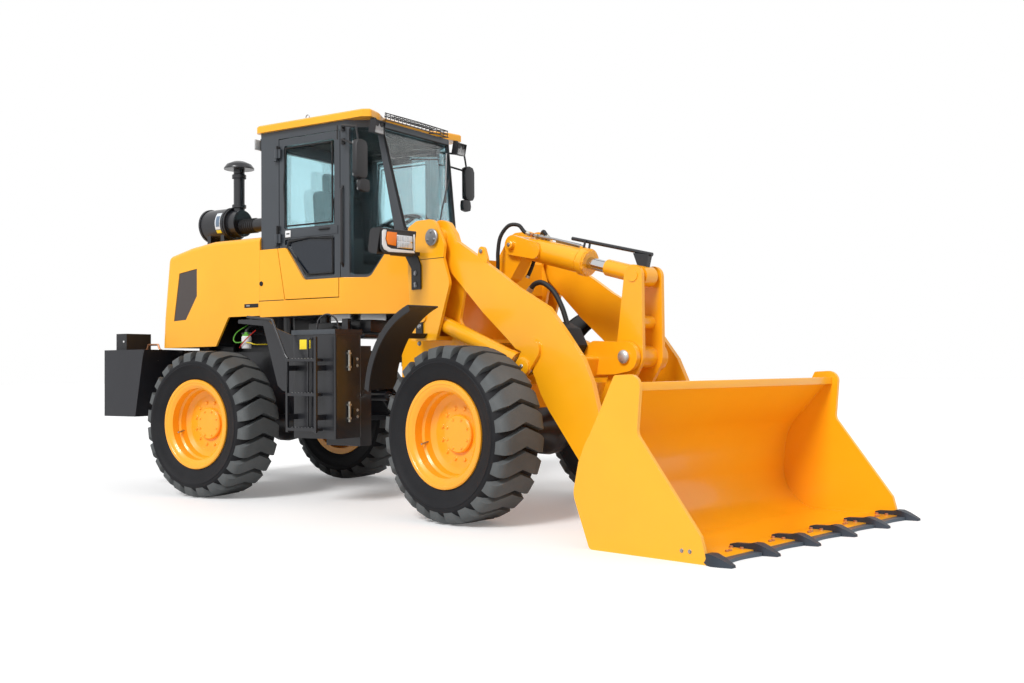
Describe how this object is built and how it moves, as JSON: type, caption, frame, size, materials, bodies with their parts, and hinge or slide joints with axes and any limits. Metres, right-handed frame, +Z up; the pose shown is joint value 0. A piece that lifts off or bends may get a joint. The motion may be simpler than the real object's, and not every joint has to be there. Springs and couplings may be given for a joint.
{
  "type": "wheel loader",
  "caption": "Yellow articulated wheel loader with a toothed bucket on a Z-bar linkage, an enclosed cab, and big lugged tyres.",
  "frame": {"origin": "middle of the footprint's box, on the ground", "axes": "+X the way the rear half faces, +Y to its left, +Z up"},
  "size_m": [6.4675, 2.8604, 2.984],
  "materials": {
    "paint": "gloss",
    "dark_paint": "satin",
    "chrome": "polished",
    "tyre": "matt",
    "glass": "clear",
    "plastic": "matt",
    "fabric": "woven"
  },
  "bodies": {
    "chassis": {"rear_frame": "dark_paint", "counterweight": "dark_paint", "rear_axle": "dark_paint", "engine_block": "dark_paint", "hood": "paint", "hood_grilles": "dark_paint", "air_cleaner": "dark_paint", "lamps": "plastic", "cab_shell": "dark_paint", "cab_roof": "paint", "cab_glass": "glass", "cab_cladding": "paint", "seat": "fabric", "driver_controls": "plastic", "side_boxes": "dark_paint", "steps": "dark_paint", "rails_and_mirrors": "dark_paint"},
    "gate": {"rear_gate": "dark_paint"},
    "door_left": {"door_frame_left": "dark_paint", "door_glass_left": "glass", "door_panel_left": "paint"},
    "door_right": {"door_frame_right": "dark_paint", "door_glass_right": "glass", "door_panel_right": "paint"},
    "front_half": {"front_frame": "paint", "front_axle": "dark_paint", "front_fenders": "plastic", "headlamps": "plastic"},
    "boom": {"boom": "paint"},
    "lift_barrels": {"lift_barrels": "paint"},
    "lift_rods": {"lift_rods": "chrome"},
    "tilt_barrel": {"tilt_barrel": "paint"},
    "tilt_rod": {"tilt_rod": "chrome", "level_bar": "dark_paint"},
    "lever": {"lever": "paint"},
    "tilt_link": {"tilt_link": "paint"},
    "bucket": {"bucket": "paint", "bucket_teeth": "dark_paint"},
    "steer_barrel_left": {"steer_barrel_left": "dark_paint"},
    "steer_ram_left": {"steer_ram_left": "chrome"},
    "steer_barrel_right": {"steer_barrel_right": "dark_paint"},
    "steer_ram_right": {"steer_ram_right": "chrome"},
    "wheel_rear_right": {"rim_rear_right": "paint", "tyre_rear_right": "tyre"},
    "wheel_rear_left": {"rim_rear_left": "paint", "tyre_rear_left": "tyre"},
    "wheel_front_right": {"rim_front_right": "paint", "tyre_front_right": "tyre"},
    "wheel_front_left": {"rim_front_left": "paint", "tyre_front_left": "tyre"}
  },
  "joints": [
    {"name": "articulation", "type": "hinge", "parent": "chassis", "child": "front_half", "pos_m": [-0.545, 0.369, 0.85], "axis": [0, 0, 1], "range_deg": [-24.64, 45.36]},
    {"name": "wheel_rear_right_spin", "type": "hinge", "parent": "chassis", "child": "wheel_rear_right", "pos_m": [-1.944, -0.481, 0.582], "axis": [0, 1, 0], "continuous": true},
    {"name": "wheel_rear_left_spin", "type": "hinge", "parent": "chassis", "child": "wheel_rear_left", "pos_m": [-1.944, 1.219, 0.582], "axis": [0, 1, 0], "continuous": true},
    {"name": "wheel_front_right_spin", "type": "hinge", "parent": "front_half", "child": "wheel_front_right", "pos_m": [0.67833, -0.71873, 0.582], "axis": [0.1798, 0.9837, 0], "continuous": true},
    {"name": "wheel_front_left_spin", "type": "hinge", "parent": "front_half", "child": "wheel_front_left", "pos_m": [0.98405, 0.95356, 0.582], "axis": [0.1798, 0.9837, 0], "continuous": true},
    {"name": "door_right_hinge", "type": "hinge", "parent": "chassis", "child": "door_right", "pos_m": [-1.452, -0.253, 2.3], "axis": [0, 0, -1], "range_deg": [0, 85]},
    {"name": "door_left_hinge", "type": "hinge", "parent": "chassis", "child": "door_left", "pos_m": [-1.452, 0.991, 2.3], "axis": [0, 0, 1], "range_deg": [0, 85]},
    {"name": "gate_hinge", "type": "hinge", "parent": "chassis", "child": "gate", "pos_m": [-2.852, 0.825, 1.6], "axis": [0, 0, -1], "range_deg": [0, 100]},
    {"name": "lift", "type": "hinge", "parent": "front_half", "child": "boom", "pos_m": [0.31574, 0.21165, 1.94], "axis": [-0.1798, -0.9837, 0], "range_deg": [0, 85]},
    {"name": "bucket_tilt", "type": "hinge", "parent": "boom", "child": "bucket", "pos_m": [1.85522, -0.06979, 0.25], "axis": [0.1798, 0.9837, 0], "range_deg": [-42, 115]},
    {"name": "lever_pivot", "type": "hinge", "parent": "boom", "child": "lever", "pos_m": [1.64864, -0.03203, 1.08], "axis": [-0.1798, -0.9837, 0], "range_deg": [-14.5, 38.5]},
    {"name": "link_pivot", "type": "hinge", "parent": "bucket", "child": "tilt_link", "pos_m": [1.97326, -0.09137, 0.62], "axis": [-0.1798, -0.9837, 0], "range_deg": [-24, 64]},
    {"name": "lift_barrel_pivot", "type": "hinge", "parent": "front_half", "child": "lift_barrels", "pos_m": [0.21245, 0.23053, 1.373], "axis": [-0.1798, -0.9837, 0], "range_deg": [-1, 72]},
    {"name": "lift_ram", "type": "slide", "parent": "lift_barrels", "child": "lift_rods", "axis": [0.9184, -0.1679, -0.3582], "range_m": [-0.005, 0.72]},
    {"name": "tilt_barrel_pivot", "type": "hinge", "parent": "front_half", "child": "tilt_barrel", "pos_m": [0.60101, 0.1595, 1.9], "axis": [-0.1798, -0.9837, 0], "range_deg": [-1, 92]},
    {"name": "tilt_ram", "type": "slide", "parent": "tilt_barrel", "child": "tilt_rod", "axis": [0.9516, -0.174, -0.2533], "range_m": [-0.145, 0.055]},
    {"name": "steer_barrel_left_pivot", "type": "hinge", "parent": "chassis", "child": "steer_barrel_left", "pos_m": [-0.994, 0.649, 0.8], "axis": [0, 0, 1], "range_deg": [-11.5, 20.5]},
    {"name": "steer_ram_left_slide", "type": "slide", "parent": "steer_barrel_left", "child": "steer_ram_left", "axis": [0.9995, 0.0315, 0], "range_m": [-0.26, 0.145]},
    {"name": "steer_barrel_right_pivot", "type": "hinge", "parent": "chassis", "child": "steer_barrel_right", "pos_m": [-0.994, 0.089, 0.8], "axis": [0, 0, 1], "range_deg": [-11.5, 20.5]},
    {"name": "steer_ram_right_slide", "type": "slide", "parent": "steer_barrel_right", "child": "steer_ram_right", "axis": [0.9827, -0.1855, 0], "range_m": [-0.145, 0.26]}
  ],
  "couplings": [
    {"joint": "lever_pivot", "follows": "bucket_tilt", "ratio": 0.33},
    {"joint": "link_pivot", "follows": "bucket_tilt", "ratio": 0.55},
    {"joint": "lift_barrel_pivot", "follows": "lift", "ratio": 0.834},
    {"joint": "lift_ram", "follows": "lift", "m_per_rad": 0.48},
    {"joint": "tilt_barrel_pivot", "follows": "lift", "ratio": 1.068},
    {"joint": "tilt_ram", "follows": "bucket_tilt", "m_per_rad": -0.07},
    {"joint": "steer_barrel_left_pivot", "follows": "articulation", "ratio": 0.44},
    {"joint": "steer_ram_left_slide", "follows": "articulation", "m_per_rad": -0.32},
    {"joint": "steer_barrel_right_pivot", "follows": "articulation", "ratio": 0.44},
    {"joint": "steer_ram_right_slide", "follows": "articulation", "m_per_rad": 0.32}
  ]
}
